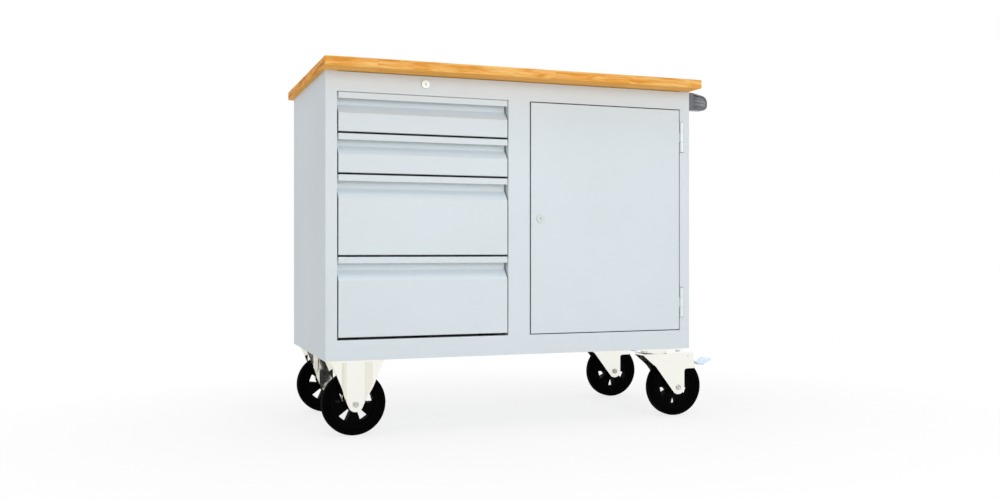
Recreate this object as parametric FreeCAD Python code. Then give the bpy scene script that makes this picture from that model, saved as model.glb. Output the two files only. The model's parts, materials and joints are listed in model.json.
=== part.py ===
import FreeCAD, Part
import math
import os

Vec = FreeCAD.Vector

# Cabinet shell, in millimetres
drawer_opening_width = 440.0
door_opening_width = 440.0
cabinet_depth = 500.0
side_stile = 30.0
centre_stile_width = 60.0
stile_depth = 25.0
stile_lip = 15.0
top_rail_height = 50.0
top_rail_flange = 30.0
bottom_rail_height = 50.0
rear_flange = 15.0
sheet = 1.5
bend_radius = 1.0
base_sheet = 2.0
base_flange = 12.0
base_notch = 16.0
partition_flange = 26.0

# Posts that carry the runners, and crossbars under the worktop
post_width = 40.0
front_post_y = 125.0
rear_post_y = 335.0
crossbar_height = 22.0

# Worktop
worktop_thickness = 23.0
worktop_front = 62.5
worktop_back = 34.5
worktop_left = 11.7
worktop_right = 1.1
worktop_edge = 2.0

# Drawer stack
low_drawer = 100.0
high_drawer = 200.0
stack_play = 2.4
front_gap = 4.0
lip_gap = 0.5
front_side_gap = 2.5
lip_height = 15.5
low_groove_wall = 14.0
low_groove_slope = 21.0
high_groove_wall = 17.5
high_groove_slope = 23.5
groove_depth = 22.0
box_sheet = 1.2
box_lift = 6.0
box_drop = 18.0
box_hem = 8.0

# Runners: three nested members on each side of a drawer
runner_width = 13.0
runner_height = 35.0
runner_sheet = 1.2
runner_play = 0.5
runner_setback = 3.5
runner_rise = 28.0
runner_rear_room = 22.0

# Central drawer lock
lock_height = 28.0
lock_rosette_radius = 11.0
lock_rosette_proud = 4.0
lock_rosette_round = 1.0
lock_sleeve_radius = 10.0
lock_sleeve_length = 18.0
lock_plug_radius = 7.0
lock_nut_radius = 14.0
lock_nut_thickness = 5.0
key_slot_width = 1.6
key_slot_length = 8.0
key_slot_depth = 4.0
running_play = 0.05
shaft_radius = 4.0
shaft_room = 1.5
crank_radius = 10.0
crank_wall = 2.0
crank_swing = 90.0
crank_thickness = 4.0
crank_pin_radius = 3.0
crank_slot_play = 0.6
lock_bar_width = 24.0
lock_bar_thickness = 3.0
lock_bar_margin = 5.0
lock_bar_setback = 22.0
catch_room = 16.0
catch_reach = 12.0
catch_width = 30.0
catch_rise = 42.0
catch_play = 3.0
tooth_width = 14.0
guide_height = 20.0
guide_wall = 10.0
guide_play = 0.4
upper_guide_z = 520.0
lower_guide_z = 150.0

# Door, hinges and door lock
door_gap_left = 2.5
door_gap_right = 1.5
door_gap_bottom = 2.0
door_gap_top = 2.0
door_depth = 20.0
door_lip = 14.0
door_edge = 2.0
hinge_length = 80.0
hinge_inset = 36.0
hinge_axis_inset = 5.5
hinge_barrel_radius = 5.0
hinge_pin_radius = 2.5
hinge_leaf_thickness = 2.5
hinge_leaf_width = 15.0
hinge_play = 1.0
knuckle_play = 0.5
door_lock_inset = 29.0
door_lock_height = 300.0
door_lock_rosette = 2.5
cam_reach = 38.0
cam_width = 16.0
cam_boss_radius = 9.0
cam_thickness = 3.0
cam_room = 1.0

# Cupboard shelf
shelf_height = 300.0
shelf_front = 60.0
shelf_back_gap = 6.0
shelf_flange = 25.0
shelf_side_gap = 3.5
clip_thickness = 2.0
clip_width = 20.0
clip_reach = 15.0
clip_inset = 40.0

# Push handle on the right side
handle_end_gap = 6.0
handle_bracket_width = 24.0
handle_reach = 60.0
handle_base = 13.0
handle_base_height = 47.5
handle_tip_height = 37.0
handle_top_gap = 1.0
handle_nose_radius = 17.0
handle_pocket_deep = 9.0
handle_pocket_shallow = 2.0
handle_rim = 4.5
handle_rib = 2.0
handle_rib_height = 1.2
handle_rib_count = 3
handle_bar_radius = 13.0
handle_bar_bore = 11.0
handle_socket = 11.0
handle_bolt_spacing = 26.0
handle_bolt_grip = 12.0

# Casters
caster_height = 190.0
wheel_radius = 80.0
tyre_width = 40.0
tyre_shoulder = 14.0
rim_radius = 60.0
rim_flange = 10.0
rim_inset = 2.5
rim_taper = 2.0
web_thickness = 28.0
hub_radius = 19.0
hub_taper = 2.0
window_inner = 22.0
window_outer = 49.0
window_angle = 28.0
window_corner = 1.5
window_count = 5
fixed_wheel_turn = 15.0
swivel_wheel_turn = 50.0
plate_length = 135.0
plate_width = 110.0
plate_thickness = 4.0
plate_corner = 8.0
plate_inset = 12.5
bolt_spacing_x = 105.0
bolt_spacing_y = 80.0
fork_sheet = 4.0
fork_outer = 30.0
fork_top = 128.0
fork_flat = 22.0
fork_slope = 17.5
fork_tip_radius = 19.0
hub_play = 0.5
axle_radius = 6.0
axle_head_radius = 7.5
axle_head = 4.0
axle_head_round = 2.5
axle_dimple_radius = 3.5
axle_dimple = 1.5
swivel_offset = 60.0
race_radius = 36.0
race_height = 12.0
race_round = 3.0
race_play = 0.4
king_pin_radius = 6.0
king_pin_head = 11.0
king_pin_head_height = 4.0
fork_rear = 44.0
fork_rear_drop = 5.0
fork_knee_x = -9.0
fork_knee_drop = 35.0
fork_knee_radius = 60.0
fork_nose = 112.0
fork_nose_drop = 43.0
fork_nose_corner = 5.0
fork_inner_corner = 8.0
pedal_pivot_x = 90.0
pedal_pivot_drop = 6.0
pedal_pin_radius = 3.0
pedal_hub_radius = 5.5
pedal_sheet = 3.0
pedal_arm_reach = 48.0
pedal_arm_drop = 27.0
pedal_tread_reach = 29.0
pedal_tread_rise = 14.5
pedal_arm_width = 44.0
pedal_tread_width = 50.0
shoe_x = 15.0
shoe_width = 10.0
shoe_length = 26.0
shoe_clear = 0.6
pedal_swing = 8.0

# Fasteners
bolt_radius = 4.0
bolt_head_radius = 7.5
bolt_head = 6.0
bolt_room = 0.5
bolt_tail = 3.0

# Shell positions worked out from the sizes above
drawer_heights = [low_drawer, low_drawer, high_drawer, high_drawer]
groove_walls = [low_groove_wall, low_groove_wall, high_groove_wall, high_groove_wall]
groove_slopes = [low_groove_slope, low_groove_slope, high_groove_slope, high_groove_slope]
stack_height = sum(drawer_heights)
cabinet_height = bottom_rail_height + stack_play + stack_height + top_rail_height
cabinet_width = 2 * side_stile + drawer_opening_width + centre_stile_width + door_opening_width
opening_top = cabinet_height - top_rail_height
opening_left = side_stile
opening_right = opening_left + drawer_opening_width
door_left = opening_right + centre_stile_width
door_right = door_left + door_opening_width
partition_x = (opening_right + door_left) / 2
back_inner = cabinet_depth - sheet
right_inner = cabinet_width - sheet
base_rear = back_inner - sheet - bend_radius
column_x = (opening_left + opening_right) / 2
crossbar_low = cabinet_height - crossbar_height

# Drawer and runner positions
front_back = groove_depth + sheet
box_left = opening_left + runner_width
box_right = opening_right - runner_width
runner_front = front_back + runner_setback
runner_rear = back_inner - runner_rear_room
runner_step = runner_sheet + runner_play
lock_bar_rear = back_inner - lock_bar_setback
lock_bar_front = lock_bar_rear - lock_bar_thickness
box_rear = lock_bar_front - catch_room

# Lock positions
lock_z = cabinet_height - top_rail_height + lock_height
half_swing = math.radians(crank_swing / 2)
lock_lift = 2 * crank_radius * math.sin(half_swing)
crank_pin_x = column_x + crank_radius * math.cos(half_swing)
crank_pin_z = lock_z - crank_radius * math.sin(half_swing)
lock_bar_x = (crank_pin_x + column_x + crank_radius) / 2
door_lock_x = door_left + door_lock_inset
door_lock_z = bottom_rail_height + door_lock_height
cam_y = stile_depth + cam_room

# Hinge positions
hinge_x = door_right + hinge_axis_inset
door_z_low = bottom_rail_height + door_gap_bottom
door_z_high = opening_top - door_gap_top
hinge_lows = [bottom_rail_height + hinge_inset, opening_top - hinge_inset - hinge_length]

# Caster positions
axle_z = wheel_radius - caster_height
fixed_x = plate_inset + plate_length / 2
swivel_x = cabinet_width - fixed_x
caster_ys = [plate_width / 2, cabinet_depth - plate_width / 2]
fork_inner = fork_outer - fork_sheet
hub_half = fork_inner - hub_play
web_top = -plate_thickness - race_height
web_low = web_top - fork_sheet
axle_x = swivel_x + swivel_offset
pedal_x = swivel_x + pedal_pivot_x
pedal_z = web_low - pedal_pivot_drop
pedal_tip_x = pedal_x + pedal_arm_reach + pedal_tread_reach

# The origin lies under the middle of the cart, on the floor
origin_shift = Vec(
    (worktop_left - max(pedal_tip_x, cabinet_width + handle_reach)) / 2,
    (worktop_front - cabinet_depth - worktop_back) / 2,
    caster_height,
)

nodes = {}


def on_plan(a, b):
    return Vec(a, b, 0)


def on_side(a, b):
    return Vec(0, a, b)


def on_front(a, b):
    return Vec(a, 0, b)


def below_axis(a, b):
    return Vec(0, b, -a)


def block(x_span, y_span, z_span):
    corner = Vec(x_span[0], y_span[0], z_span[0])
    return Part.makeBox(x_span[1] - x_span[0], y_span[1] - y_span[0], z_span[1] - z_span[0], corner)


def rod(radius, start, end):
    return Part.makeCylinder(radius, (end - start).Length, start, end - start)


def joined(shapes):
    return shapes[0].fuse(shapes[1:]).removeSplitter()


def rounded_face(points, radii, plane):
    # a closed outline whose corners are arcs of the given radii
    corners = [plane(a, b) for a, b in points]
    entries = []
    leaves = []
    middles = []
    for index, corner in enumerate(corners):
        to_before = (corners[index - 1] - corner).normalize()
        to_after = (corners[(index + 1) % len(corners)] - corner).normalize()
        half_angle = to_before.getAngle(to_after) / 2
        radius = radii[index]
        reach = radius / math.tan(half_angle)
        bulge = radius / math.sin(half_angle) - radius
        entries.append(corner + to_before * reach)
        leaves.append(corner + to_after * reach)
        middles.append(corner + (to_before + to_after).normalize() * bulge)
    edges = []
    for index, radius in enumerate(radii):
        following = entries[(index + 1) % len(radii)]
        if radius > 0:
            edges.append(Part.Arc(entries[index], middles[index], leaves[index]).toShape())
        if leaves[index].distanceToPoint(following) > 1e-6:
            edges.append(Part.LineSegment(leaves[index], following).toShape())
    return Part.Face(Part.Wire(edges))


def moved_left(path, distance):
    # the same open path, moved to its left and mitred at the corners
    normals = []
    for start, end in zip(path, path[1:]):
        length = math.hypot(end[0] - start[0], end[1] - start[1])
        normals.append(((start[1] - end[1]) / length, (end[0] - start[0]) / length))
    result = []
    for index, point in enumerate(path):
        first = normals[max(index - 1, 0)]
        second = normals[min(index, len(normals) - 1)]
        scale = distance / (1 + first[0] * second[0] + first[1] * second[1])
        result.append((point[0] + (first[0] + second[0]) * scale, point[1] + (first[1] + second[1]) * scale))
    return result


def folded(path, thickness, plane):
    # section of a folded strip: the path is one face and the thickness lies to its left
    near = [0.0]
    far = [0.0]
    for before, corner, after in zip(path, path[1:], path[2:]):
        arriving = (corner[0] - before[0], corner[1] - before[1])
        leaving = (after[0] - corner[0], after[1] - corner[1])
        turn = arriving[0] * leaving[1] - arriving[1] * leaving[0]
        near.append(bend_radius + (thickness if turn > 0 else 0))
        far.append(bend_radius + (thickness if turn < 0 else 0))
    near.append(0.0)
    far.append(0.0)
    outline = path + moved_left(path, thickness)[::-1]
    return rounded_face(outline, near + far[::-1], plane)


def along_x(face, x_span):
    return face.translated(Vec(x_span[0], 0, 0)).extrude(Vec(x_span[1] - x_span[0], 0, 0))


def along_y(face, y_span):
    return face.translated(Vec(0, y_span[0], 0)).extrude(Vec(0, y_span[1] - y_span[0], 0))


def along_z(face, z_span):
    return face.translated(Vec(0, 0, z_span[0])).extrude(Vec(0, 0, z_span[1] - z_span[0]))


def turned(points, radii, centre):
    # a ring or disc turned about a line through the centre along Y, from (radius, y) points
    face = rounded_face(points, radii, below_axis).translated(centre)
    return face.revolve(centre, Vec(0, 1, 0), 360)


def mirrored_x(shape, x):
    return shape.mirror(Vec(x, 0, 0), Vec(1, 0, 0))


def mirrored_y(shape, y):
    return shape.mirror(Vec(0, y, 0), Vec(0, 1, 0))


def hexagon(radius, centre, direction, thickness):
    # a hexagonal head or nut whose corners lie on the radius
    side = Vec(0, 0, 1) if abs(direction.z) < 0.5 else Vec(1, 0, 0)
    points = []
    for step in range(7):
        spoke = FreeCAD.Rotation(direction, 60 * step).multVec(side)
        points.append(centre + spoke * radius)
    return Part.Face(Part.makePolygon(points)).extrude(direction * thickness)


def add(name, *shapes):
    solids = [solid for shape in shapes for solid in shape.Solids]
    nodes[name] = solids


# Worktop: a solid wood board with eased edges
def make_worktop():
    board = block(
        (-worktop_left, cabinet_width + worktop_right),
        (-worktop_front, cabinet_depth + worktop_back),
        (cabinet_height, cabinet_height + worktop_thickness),
    )
    add("worktop", board.makeFillet(worktop_edge, board.Edges))


def part_returned(plain, returned, plane, sweep, plain_spans, returned_spans):
    # a folded member whose last return is left out over the plain spans, where another member meets it flush
    pieces = [sweep(folded(plain, sheet, plane), span) for span in plain_spans]
    pieces += [sweep(folded(returned, sheet, plane), span) for span in returned_spans]
    return joined(pieces)


# Side panels: one sheet folded into rear flange, side, front stile and stile return
def side_panel():
    plain = [(rear_flange, back_inner), (0, back_inner), (0, 0), (side_stile, 0)]
    returned = plain + [(side_stile, stile_depth)]
    plain_spans = [(0, bottom_rail_height), (opening_top, cabinet_height)]
    returned_spans = [(bottom_rail_height, opening_top)]
    panel = part_returned(plain, returned, on_plan, along_z, plain_spans, returned_spans)
    notch = block((sheet, side_stile + sheet), (sheet, stile_depth + sheet), (-sheet, base_notch))
    return panel.cut(notch)


def hinge_notches():
    # room in the right stile for the hinge barrels
    clear = hinge_barrel_radius + hinge_play
    cuts = []
    for low in hinge_lows:
        z_span = (low - hinge_play, low + hinge_length + hinge_play)
        cuts.append(block((door_right - sheet, hinge_x + clear), (-clear, clear), z_span))
    return cuts


def handle_bolt_places():
    # centres of the handle's bolts on the outside of the right panel
    middle_z = cabinet_height - handle_top_gap - handle_base_height / 2
    places = []
    near_y = handle_end_gap + handle_bracket_width / 2
    for y in (near_y, cabinet_depth - near_y):
        for side in (-0.5, 0.5):
            places.append(Vec(cabinet_width, y, middle_z + side * handle_bolt_spacing))
    return places


def make_side_panels():
    add("left_side_panel", side_panel())
    holes = []
    for place in handle_bolt_places():
        inward = Vec(2 * side_stile, 0, 0)
        holes.append(rod(bolt_radius + bolt_room, place - inward, place + inward))
    right = mirrored_x(side_panel(), cabinet_width / 2)
    add("right_side_panel", right.cut(hinge_notches() + holes))


def make_rails_and_stile():
    stile_spans = [(opening_right, door_left)]
    opening_spans = [(opening_left, opening_right), (door_left, door_right)]
    plain = [(top_rail_flange, cabinet_height), (0, cabinet_height), (0, opening_top)]
    returned = plain + [(stile_depth, opening_top)]
    rail = part_returned(plain, returned, on_side, along_x, stile_spans, opening_spans)
    lock_centre = Vec(column_x, 0, lock_z)
    through = Vec(0, 2 * sheet, 0)
    lock_hole = rod(lock_sleeve_radius + running_play, lock_centre - through, lock_centre + through)
    add("top_rail", rail.cut(lock_hole))
    returned = [(stile_depth, bottom_rail_height), (0, bottom_rail_height), (0, 0)]
    add("bottom_rail", part_returned(returned[1:], returned, on_side, along_x, stile_spans, opening_spans))
    stile = [
        (opening_right + stile_lip, stile_depth),
        (opening_right, stile_depth),
        (opening_right, 0),
        (door_left, 0),
        (door_left, stile_depth),
        (door_left - stile_lip, stile_depth),
    ]
    add("centre_stile", along_z(folded(stile, sheet, on_plan), (bottom_rail_height, opening_top)))


def caster_bolt_places(x, y):
    places = []
    for side_x in (-0.5, 0.5):
        for side_y in (-0.5, 0.5):
            places.append(Vec(x + side_x * bolt_spacing_x, y + side_y * bolt_spacing_y, 0))
    return places


def all_caster_bolts():
    return [place for x in (fixed_x, swivel_x) for y in caster_ys for place in caster_bolt_places(x, y)]


# Back, base and partition panels
def make_inner_panels():
    add("back_panel", block((0, cabinet_width), (back_inner, cabinet_depth), (0, cabinet_height)))
    x_span = (sheet, right_inner)
    pan = block(x_span, (sheet, base_rear), (0, base_flange))
    inside_x = (sheet + base_sheet, right_inner - base_sheet)
    inside_y = (sheet + base_sheet, base_rear - base_sheet)
    pan = pan.cut(block(inside_x, inside_y, (base_sheet, base_flange + base_sheet)))
    up = Vec(0, 0, base_sheet)
    holes = [rod(bolt_radius + bolt_room, place - up, place + up * 2) for place in all_caster_bolts()]
    add("base_panel", pan.cut(holes))
    wall = partition_x + sheet / 2
    path = [
        (wall - partition_flange, stile_depth),
        (wall, stile_depth),
        (wall, back_inner),
        (wall - rear_flange, back_inner),
    ]
    partition = along_z(folded(path, sheet, on_plan), (base_sheet, crossbar_low))
    notch_y = (base_rear - base_sheet, cabinet_depth)
    flange_notch = block((wall - rear_flange, wall + sheet), notch_y, (0, base_flange))
    add("partition_panel", partition.cut(flange_notch))


def lock_shaft_hole():
    return rod(shaft_radius + shaft_room, Vec(column_x, 0, lock_z), Vec(column_x, cabinet_depth, lock_z))


# Posts stand on the base and carry the runners; crossbars rest on the posts and carry the worktop
def make_posts_and_crossbars():
    posts = []
    partition_left = partition_x - sheet / 2
    for y in (front_post_y, rear_post_y):
        left = [(sheet, y), (opening_left, y), (opening_left, y + post_width), (sheet, y + post_width)]
        right = [
            (partition_left, y + post_width),
            (opening_right, y + post_width),
            (opening_right, y),
            (partition_left, y),
        ]
        flange_notch = block((0, sheet + base_sheet), (0, cabinet_depth), (0, base_flange))
        for path in (left, right):
            post = along_z(folded(path, sheet, on_plan), (base_sheet, crossbar_low))
            posts.append(post.cut(flange_notch))
    add("drawer_posts", *posts)
    bars = []
    for y in (front_post_y, rear_post_y):
        path = [
            (y + post_width, crossbar_low),
            (y + post_width, cabinet_height),
            (y, cabinet_height),
            (y, crossbar_low),
        ]
        bar = along_x(folded(path, sheet, on_side), (sheet, right_inner))
        bars.append(bar.cut(lock_shaft_hole()))
    add("top_crossbars", *bars)


def drawer_tops():
    tops = []
    top = opening_top
    for height in drawer_heights:
        tops.append(top)
        top -= height
    return tops


# Runner members on the left side of the drawer column, the outer two channels and the middle one an I
def channel_runner(wall_x, lip_x, half, middle_z, y_span):
    # a channel standing on the wall with its lips towards lip_x
    turn = 1 if lip_x > wall_x else -1
    path = [
        (lip_x, middle_z + turn * half),
        (wall_x, middle_z + turn * half),
        (wall_x, middle_z - turn * half),
        (lip_x, middle_z - turn * half),
    ]
    return along_y(folded(path, runner_sheet, on_front), y_span)


def middle_runner(middle_z, y_span):
    # slides in the cabinet member and guides the drawer member
    half = runner_height / 2 - runner_step
    x_span = (opening_left + runner_step, box_left - runner_step)
    web_x = (opening_left + box_left - runner_sheet) / 2
    web = block((web_x, web_x + runner_sheet), y_span, (middle_z - half, middle_z + half))
    upper = block(x_span, y_span, (middle_z + half - runner_sheet, middle_z + half))
    lower = block(x_span, y_span, (middle_z - half, middle_z - half + runner_sheet))
    return joined([web, upper, lower])


def make_runners():
    y_span = (runner_front, runner_rear)
    drawer_half = runner_height / 2 - 2 * runner_step
    drawer_lip_x = (opening_left + box_left - runner_sheet) / 2 + runner_step
    cabinet_members = []
    for number, (top, height) in enumerate(zip(drawer_tops(), drawer_heights), 1):
        middle_z = top - height + front_gap + box_lift + runner_rise
        cabinet = channel_runner(opening_left, box_left - runner_step, runner_height / 2, middle_z, y_span)
        drawer = channel_runner(box_left, drawer_lip_x, drawer_half, middle_z, (runner_front, box_rear))
        middle = middle_runner(middle_z, y_span)
        cabinet_members += [cabinet, mirrored_x(cabinet, column_x)]
        add(f"drawer_{number}_runners", drawer, mirrored_x(drawer, column_x))
        add(f"drawer_{number}_mid_rails", middle, mirrored_x(middle, column_x))
    add("cabinet_rails", *cabinet_members)


# Drawers: a folded front with a finger groove, and a box with a catch for the lock bar
def drawer_front(top, bottom, groove_wall, groove_slope):
    groove_top = top - lip_height
    slope_top = groove_top - groove_wall
    path = [
        (sheet, groove_top),
        (sheet, top - sheet),
        (groove_depth, top - sheet),
        (groove_depth, slope_top),
        (0, slope_top - groove_slope),
        (0, bottom),
        (front_back, bottom),
    ]
    x_span = (opening_left + front_side_gap, opening_right - front_side_gap)
    return along_x(folded(path, sheet, on_side), x_span)


def drawer_box(top, bottom):
    z_span = (bottom + box_lift, top - box_drop)
    box = block((box_left, box_right), (front_back, box_rear), z_span)
    inner_x = (box_left + box_sheet, box_right - box_sheet)
    inner_y = (front_back + box_sheet, box_rear - box_sheet)
    hem_x = (inner_x[0] + box_sheet, inner_x[1] - box_sheet)
    hem_y = (inner_y[0], inner_y[1] - box_sheet)
    hem_low = z_span[1] - box_hem
    below_hem = block(inner_x, inner_y, (z_span[0] + box_sheet, hem_low))
    within_hem = block(hem_x, hem_y, (hem_low, z_span[1] + box_sheet))
    box = box.cut([below_hem, within_hem])
    catch_z = z_span[0] + catch_rise
    half = catch_width / 2
    catch = block(
        (lock_bar_x - half, lock_bar_x + half),
        (box_rear, box_rear + catch_reach),
        (catch_z, catch_z + 2 * box_sheet),
    )
    tooth_y = box_rear + catch_reach / 2
    slot_half = tooth_width / 2 + catch_play
    slot_deep = lock_bar_thickness / 2 + catch_play / 2
    slot = block(
        (lock_bar_x - slot_half, lock_bar_x + slot_half),
        (tooth_y - slot_deep, tooth_y + slot_deep),
        (catch_z - box_sheet, catch_z + 3 * box_sheet),
    )
    return joined([box, catch.cut(slot)])


def make_drawers():
    rows = zip(drawer_tops(), drawer_heights, groove_walls, groove_slopes)
    for number, (top, height, groove_wall, groove_slope) in enumerate(rows, 1):
        front_top = top - lip_gap
        front_bottom = top - height + front_gap
        add(f"drawer_{number}_front", drawer_front(front_top, front_bottom, groove_wall, groove_slope))
        add(f"drawer_{number}_box", drawer_box(front_top, front_bottom))


# Locks: a sleeve with rosette and nut, and a turning plug with a key slot
def lock_housing(x, z, panel, proud, length):
    centre = Vec(x, 0, z)
    bore = lock_plug_radius + running_play
    points = [
        (bore, -proud),
        (lock_rosette_radius, -proud),
        (lock_rosette_radius, 0),
        (lock_sleeve_radius, 0),
        (lock_sleeve_radius, panel),
        (lock_nut_radius, panel),
        (lock_nut_radius, panel + lock_nut_thickness),
        (lock_sleeve_radius, panel + lock_nut_thickness),
        (lock_sleeve_radius, length),
        (bore, length),
    ]
    radii = [0, lock_rosette_round, 0, 0, 0, 0, 0, 0, 0, 0]
    return turned(points, radii, centre)


def lock_plug(x, z, proud, length):
    front = -proud - 2 * running_play
    plug = rod(lock_plug_radius, Vec(x, front, z), Vec(x, length, z))
    half = key_slot_width / 2
    tall = key_slot_length / 2
    slot = block((x - half, x + half), (front - half, front + key_slot_depth), (z - tall, z + tall))
    return plug.cut(slot)


def link_plate(first, second, first_radius, second_radius, y_span):
    # a flat link with round ends
    ends = []
    for centre, radius in ((first, first_radius), (second, second_radius)):
        ends.append(rod(radius, Vec(centre[0], y_span[0], centre[1]), Vec(centre[0], y_span[1], centre[1])))
    length = math.hypot(second[0] - first[0], second[1] - first[1])
    side = ((first[1] - second[1]) / length, (second[0] - first[0]) / length)
    points = []
    for centre, radius in ((first, first_radius), (second, second_radius)):
        shift = (side[0] * radius, side[1] * radius)
        pair = [(centre[0] + shift[0], centre[1] + shift[1]), (centre[0] - shift[0], centre[1] - shift[1])]
        points += pair if not points else pair[::-1]
    bridge = along_y(rounded_face(points, [0, 0, 0, 0], on_front), y_span)
    return joined(ends + [bridge])


def make_drawer_lock():
    add("drawer_lock_housing", lock_housing(column_x, lock_z, sheet, lock_rosette_proud, lock_sleeve_length))
    plug = lock_plug(column_x, lock_z, lock_rosette_proud, lock_sleeve_length + lock_nut_thickness)
    crank_rear = lock_bar_front - catch_play / 2
    crank_front = crank_rear - crank_thickness
    shaft = rod(shaft_radius, Vec(column_x, lock_sleeve_length, lock_z), Vec(column_x, crank_rear, lock_z))
    crank = link_plate(
        (column_x, lock_z),
        (crank_pin_x, crank_pin_z),
        shaft_radius + crank_wall,
        crank_pin_radius + crank_wall,
        (crank_front, crank_rear),
    )
    pin_start = Vec(crank_pin_x, crank_front, crank_pin_z)
    pin_end = Vec(crank_pin_x, lock_bar_rear + catch_play / 2, crank_pin_z)
    pin = rod(crank_pin_radius, pin_start, pin_end)
    add("drawer_lock_cylinder", joined([plug, shaft, crank, pin]))


def tooth_feet():
    # undersides of the teeth, each far enough below its drawer's catch to leave it when lowered
    feet = []
    for top, height in zip(drawer_tops(), drawer_heights):
        catch_z = top - height + front_gap + box_lift + catch_rise
        feet.append(catch_z - 2 * catch_play - lock_lift - lock_bar_thickness)
    return feet


def lock_bar_teeth():
    teeth = []
    half = tooth_width / 2
    tooth_y = box_rear + catch_reach / 2
    tooth_span = (tooth_y - lock_bar_thickness / 2, tooth_y + lock_bar_thickness / 2)
    x_span = (lock_bar_x - half, lock_bar_x + half)
    for foot in tooth_feet():
        step = foot + lock_bar_thickness
        teeth.append(block(x_span, tooth_span, (foot, step + lock_lift + catch_play)))
        teeth.append(block(x_span, (tooth_span[0], lock_bar_front), (foot, step)))
    return teeth


def make_lock_bar():
    slot_half = crank_pin_radius + crank_slot_play
    head_top = crank_pin_z + slot_half + lock_bar_margin
    half = lock_bar_width / 2
    foot = min(tooth_feet()) - lock_bar_margin
    bar = block((lock_bar_x - half, lock_bar_x + half), (lock_bar_front, lock_bar_rear), (foot, head_top))
    slot = block(
        (crank_pin_x - slot_half, column_x + crank_radius + slot_half),
        (lock_bar_front - lock_bar_thickness, lock_bar_rear + lock_bar_thickness),
        (crank_pin_z - slot_half, crank_pin_z + slot_half),
    )
    add("drawer_lock_bar", joined([bar.cut(slot)] + lock_bar_teeth()))
    guides = []
    for z in (lower_guide_z, upper_guide_z):
        z_span = (z, z + guide_height)
        wide = half + guide_play
        outer = block(
            (lock_bar_x - wide - guide_wall, lock_bar_x + wide + guide_wall),
            (lock_bar_front - guide_wall / 2, back_inner),
            z_span,
        )
        channel = block(
            (lock_bar_x - wide, lock_bar_x + wide),
            (lock_bar_front - guide_play, lock_bar_rear + guide_play),
            (z - guide_play, z + guide_height + guide_play),
        )
        guides.append(outer.cut(channel))
    add("lock_bar_guides", *guides)


# Door: a shallow pan with a lip round its open back
def make_door():
    x_span = (door_left + door_gap_left, door_right - door_gap_right)
    pan = block(x_span, (0, door_depth), (door_z_low, door_z_high))
    front_edges = [edge for edge in pan.Edges if edge.BoundBox.YMax < sheet]
    pan = pan.makeFillet(door_edge, front_edges)
    inner_x = (x_span[0] + sheet, x_span[1] - sheet)
    inner_z = (door_z_low + sheet, door_z_high - sheet)
    hollow = block(inner_x, (sheet, door_depth - sheet), inner_z)
    mouth_x = (x_span[0] + door_lip, x_span[1] - door_lip)
    mouth_z = (door_z_low + door_lip, door_z_high - door_lip)
    mouth = block(mouth_x, (sheet, door_depth + sheet), mouth_z)
    cuts = [hollow, mouth]
    for low in hinge_lows:
        z_span = (low - hinge_play, low + hinge_length + hinge_play)
        leaf_room = sheet + hinge_leaf_thickness + knuckle_play
        cuts.append(block((x_span[1] - 2 * sheet, x_span[1] + sheet), (sheet, leaf_room), z_span))
    start = Vec(door_lock_x, -sheet, door_lock_z)
    cuts.append(rod(lock_sleeve_radius + running_play, start, start + Vec(0, 3 * sheet, 0)))
    add("door_panel", pan.cut(cuts))


def make_door_lock():
    length = cam_y - 2 * cam_room
    add("door_lock_housing", lock_housing(door_lock_x, door_lock_z, sheet, door_lock_rosette, length))
    plug = lock_plug(door_lock_x, door_lock_z, door_lock_rosette, cam_y + cam_thickness + cam_room)
    cam = link_plate(
        (door_lock_x, door_lock_z),
        (door_lock_x, door_lock_z + cam_reach - cam_width / 2),
        cam_boss_radius,
        cam_width / 2,
        (cam_y, cam_y + cam_thickness),
    )
    add("door_lock_cylinder", joined([plug, cam]))


# Hinges: leaves with rolled knuckles on a pin
def hinge_leaf(low, side, knuckles):
    # side is 1 for the leaf on the stile and -1 for the leaf on the door
    y_span = (sheet, sheet + hinge_leaf_thickness)
    root = hinge_x + side * (hinge_barrel_radius + hinge_play)
    tip = hinge_x + side * (hinge_barrel_radius + hinge_leaf_width)
    pieces = [block(sorted((root, tip)), y_span, (low, low + hinge_length))]
    for start, end in knuckles:
        pieces.append(rod(hinge_barrel_radius, Vec(hinge_x, 0, start), Vec(hinge_x, 0, end)))
        pieces.append(block(sorted((hinge_x, root)), y_span, (start, end)))
    return joined(pieces)


def make_hinges():
    frame_leaves = []
    door_leaves = []
    pins = []
    third = hinge_length / 3
    for low in hinge_lows:
        high = low + hinge_length
        frame_knuckles = [(low, low + third - knuckle_play), (high - third + knuckle_play, high)]
        door_knuckles = [(low + third, high - third)]
        bottom = Vec(hinge_x, 0, low)
        top = Vec(hinge_x, 0, high)
        past_end = Vec(0, 0, hinge_play)
        bore = rod(hinge_pin_radius + running_play, bottom - past_end, top + past_end)
        frame_leaves.append(hinge_leaf(low, 1, frame_knuckles).cut(bore))
        door_leaves.append(hinge_leaf(low, -1, door_knuckles).cut(bore))
        pins.append(rod(hinge_pin_radius, bottom, top))
    add("hinge_frame_leaves", *frame_leaves)
    add("hinge_door_leaves", *door_leaves)
    add("hinge_pins", *pins)


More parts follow.
